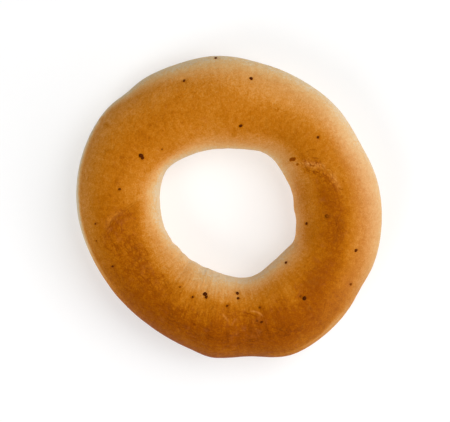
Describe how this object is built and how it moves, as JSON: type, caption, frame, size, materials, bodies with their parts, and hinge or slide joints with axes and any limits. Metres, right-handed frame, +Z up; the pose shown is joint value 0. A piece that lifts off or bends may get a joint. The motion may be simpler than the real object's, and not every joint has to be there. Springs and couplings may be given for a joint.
{
  "type": "ring roll",
  "caption": "Baked ring-shaped bread roll with a round hole, a flat foot and a few poppy seeds in its golden-brown crust.",
  "frame": {"origin": "centre of the roll's box, at the level of the surface that it lies on", "axes": "+Z up out of the browned crown, through the hole; +Y towards the top of the picture, +X to its right"},
  "size_m": [0.1114, 0.1098, 0.0288],
  "materials": {
    "crust": "satin baked crust, golden brown on top, paler at the walls",
    "poppy_seed": "dull seed, baked brown-black"
  },
  "bodies": {
    "root": {"ring_roll": "crust"}
  },
  "joints": []
}
